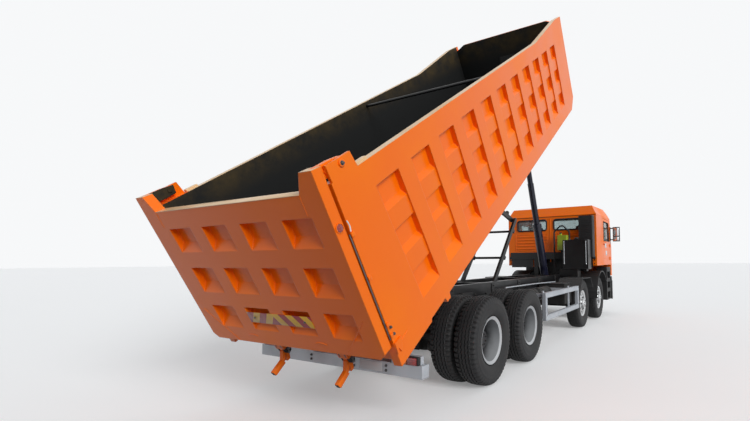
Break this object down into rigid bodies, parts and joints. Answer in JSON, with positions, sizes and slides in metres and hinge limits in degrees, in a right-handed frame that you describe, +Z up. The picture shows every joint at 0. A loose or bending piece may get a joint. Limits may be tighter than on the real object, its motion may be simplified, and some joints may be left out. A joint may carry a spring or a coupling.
{
  "type": "tipper dump truck",
  "caption": "Heavy rigid tipper truck with a raised box bed of pressed pocket panels, front telescopic hoist, top-hung tailgate and tilting cab.",
  "frame": {"origin": "on the ground, below the middle of the truck's outline", "axes": "+X forward, +Y to the truck's left, +Z up"},
  "size_m": [11.3971, 3.05, 6.5952],
  "materials": {
    "black_metal": "satin",
    "black_plastic": "matte",
    "bright_stage": "polished",
    "cast_dark": "rough",
    "dark_barrel": "gloss",
    "glass": "clear",
    "hose_rubber": "matte",
    "lime_plastic": "gloss",
    "orange": "gloss",
    "rim_bright": "satin",
    "rim_grey": "satin",
    "seat_fabric": "woven",
    "silver_bar": "satin",
    "tank_alloy": "satin",
    "tyre_rubber": "matte"
  },
  "bodies": {
    "chassis": {"frame_rails": "black_metal", "tipper_subframe": "black_metal", "engine_block": "cast_dark", "drive_axles": "cast_dark", "front_suspension": "cast_dark", "front_bumper": "black_plastic", "front_mudguards": "black_plastic", "side_guards": "silver_bar", "rear_bumper": "silver_bar", "fuel_tank": "tank_alloy", "air_tanks": "cast_dark", "hydraulic_tank": "black_metal", "expansion_tank": "lime_plastic", "coolant_hose": "hose_rubber", "air_intake": "black_plastic", "cab_rear_arch": "black_metal"},
    "bed": {"bed_floor": "orange", "bed_side_left": "orange", "bed_side_right": "orange", "bed_front_wall": "orange", "tie_bar": "black_metal", "tailgate_hooks": "orange"},
    "tailgate": {"tailgate_panel": "orange"},
    "barrel": {"hoist_barrel": "dark_barrel"},
    "stage_1": {"hoist_stage_1": "bright_stage"},
    "stage_2": {"hoist_stage_2": "bright_stage"},
    "stage_3": {"hoist_stage_3": "bright_stage"},
    "rod": {"hoist_rod": "bright_stage"},
    "lower_frame": {"stabiliser_lower": "black_metal"},
    "upper_frame": {"stabiliser_upper": "black_metal"},
    "cab": {"cab_shell": "orange", "cab_rear_wall": "orange", "cab_glass": "glass", "cab_seats": "seat_fabric", "dashboard": "black_plastic", "cab_mirrors": "black_plastic"},
    "left_door": {"door_left": "orange", "door_left_glass": "glass"},
    "right_door": {"door_right": "orange", "door_right_glass": "glass"},
    "knuckle_left_2": {"knuckle_left_2": "cast_dark"},
    "wheel_left_2": {"tyre_left_2": "tyre_rubber", "rim_left_2": "rim_bright"},
    "knuckle_left_1": {"knuckle_left_1": "cast_dark"},
    "wheel_left_1": {"tyre_left_1": "tyre_rubber", "rim_left_1": "rim_bright"},
    "wheels_left_4": {"tyres_left_4": "tyre_rubber", "rims_left_4": "rim_grey"},
    "wheels_left_3": {"tyres_left_3": "tyre_rubber", "rims_left_3": "rim_grey"},
    "knuckle_right_2": {"knuckle_right_2": "cast_dark"},
    "wheel_right_2": {"tyre_right_2": "tyre_rubber", "rim_right_2": "rim_bright"},
    "knuckle_right_1": {"knuckle_right_1": "cast_dark"},
    "wheel_right_1": {"tyre_right_1": "tyre_rubber", "rim_right_1": "rim_bright"},
    "wheels_right_4": {"tyres_right_4": "tyre_rubber", "rims_right_4": "rim_grey"},
    "wheels_right_3": {"tyres_right_3": "tyre_rubber", "rims_right_3": "rim_grey"}
  },
  "joints": [
    {"name": "bed_tip", "type": "hinge", "parent": "chassis", "child": "bed", "pos_m": [-3.876, 0, 1.11], "axis": [0, -1, 0], "range_deg": [-34.8, 10]},
    {"name": "tailgate_swing", "type": "hinge", "parent": "bed", "child": "tailgate", "pos_m": [-5.43249, 0, 2.31397], "axis": [0, 1, 0], "range_deg": [0, 60]},
    {"name": "barrel_lean", "type": "hinge", "parent": "chassis", "child": "barrel", "pos_m": [3.174, 0, 0.85], "axis": [0, -1, 0], "range_deg": [-18.86, 5.49]},
    {"name": "extend_1", "type": "slide", "parent": "barrel", "child": "stage_1", "axis": [-0.3917, 0, 0.9201], "range_m": [-1.02703, 0.29655]},
    {"name": "extend_2", "type": "slide", "parent": "stage_1", "child": "stage_2", "axis": [-0.3917, 0, 0.9201], "range_m": [-1.02703, 0.29655]},
    {"name": "extend_3", "type": "slide", "parent": "stage_2", "child": "stage_3", "axis": [-0.3917, 0, 0.9201], "range_m": [-1.02703, 0.29655]},
    {"name": "extend_4", "type": "slide", "parent": "stage_3", "child": "rod", "axis": [-0.3917, 0, 0.9201], "range_m": [-1.02703, 0.29655]},
    {"name": "lower_frame_swing", "type": "hinge", "parent": "chassis", "child": "lower_frame", "pos_m": [-0.876, 0, 1.11], "axis": [0, -1, 0], "range_deg": [-49.35, 14.25]},
    {"name": "upper_frame_swing", "type": "hinge", "parent": "bed", "child": "upper_frame", "pos_m": [-1.41255, 0, 2.82214], "axis": [0, 1, 0], "range_deg": [-49.35, 14.25]},
    {"name": "cab_tilt", "type": "hinge", "parent": "chassis", "child": "cab", "pos_m": [5.554, 0, 0.96], "axis": [0, 1, 0], "range_deg": [0, 50]},
    {"name": "left_door_swing", "type": "hinge", "parent": "cab", "child": "left_door", "pos_m": [5.402, 1.252, 2], "axis": [0, 0, -1], "range_deg": [0, 65]},
    {"name": "right_door_swing", "type": "hinge", "parent": "cab", "child": "right_door", "pos_m": [5.402, -1.252, 2], "axis": [0, 0, 1], "range_deg": [0, 65]},
    {"name": "steer_left_2", "type": "hinge", "parent": "chassis", "child": "knuckle_left_2", "pos_m": [2.399, 0.88, 0.56], "axis": [0, 0, 1], "range_deg": [-20.9, 20.9]},
    {"name": "spin_left_2", "type": "hinge", "parent": "knuckle_left_2", "child": "wheel_left_2", "pos_m": [2.399, 1.01, 0.562], "axis": [0, 1, 0], "continuous": true},
    {"name": "steer_left_1", "type": "hinge", "parent": "chassis", "child": "knuckle_left_1", "pos_m": [4.199, 0.88, 0.56], "axis": [0, 0, 1], "range_deg": [-32, 32]},
    {"name": "spin_left_1", "type": "hinge", "parent": "knuckle_left_1", "child": "wheel_left_1", "pos_m": [4.199, 1.01, 0.562], "axis": [0, 1, 0], "continuous": true},
    {"name": "spin_left_4", "type": "hinge", "parent": "chassis", "child": "wheels_left_4", "pos_m": [-2.776, 0.93, 0.562], "axis": [0, 1, 0], "continuous": true},
    {"name": "spin_left_3", "type": "hinge", "parent": "chassis", "child": "wheels_left_3", "pos_m": [-1.376, 0.93, 0.562], "axis": [0, 1, 0], "continuous": true},
    {"name": "steer_right_2", "type": "hinge", "parent": "chassis", "child": "knuckle_right_2", "pos_m": [2.399, -0.88, 0.56], "axis": [0, 0, 1], "range_deg": [-20.9, 20.9]},
    {"name": "spin_right_2", "type": "hinge", "parent": "knuckle_right_2", "child": "wheel_right_2", "pos_m": [2.399, -1.01, 0.562], "axis": [0, 1, 0], "continuous": true},
    {"name": "steer_right_1", "type": "hinge", "parent": "chassis", "child": "knuckle_right_1", "pos_m": [4.199, -0.88, 0.56], "axis": [0, 0, 1], "range_deg": [-32.1, 32.1]},
    {"name": "spin_right_1", "type": "hinge", "parent": "knuckle_right_1", "child": "wheel_right_1", "pos_m": [4.199, -1.01, 0.562], "axis": [0, 1, 0], "continuous": true},
    {"name": "spin_right_4", "type": "hinge", "parent": "chassis", "child": "wheels_right_4", "pos_m": [-2.776, -0.93, 0.562], "axis": [0, 1, 0], "continuous": true},
    {"name": "spin_right_3", "type": "hinge", "parent": "chassis", "child": "wheels_right_3", "pos_m": [-1.376, -0.93, 0.562], "axis": [0, 1, 0], "continuous": true}
  ],
  "couplings": [
    {"joint": "barrel_lean", "follows": "bed_tip", "ratio": 0.53908},
    {"joint": "extend_1", "follows": "bed_tip", "m_per_rad": 1.6876},
    {"joint": "extend_2", "follows": "bed_tip", "m_per_rad": 1.6876},
    {"joint": "extend_3", "follows": "bed_tip", "m_per_rad": 1.6876},
    {"joint": "extend_4", "follows": "bed_tip", "m_per_rad": 1.6876},
    {"joint": "lower_frame_swing", "follows": "bed_tip", "ratio": 1.4153},
    {"joint": "upper_frame_swing", "follows": "bed_tip", "ratio": 1.4153},
    {"joint": "steer_left_2", "follows": "steer_left_1", "ratio": 0.65},
    {"joint": "steer_right_2", "follows": "steer_left_1", "ratio": 0.65},
    {"joint": "steer_right_1", "follows": "steer_left_1", "ratio": 1}
  ]
}
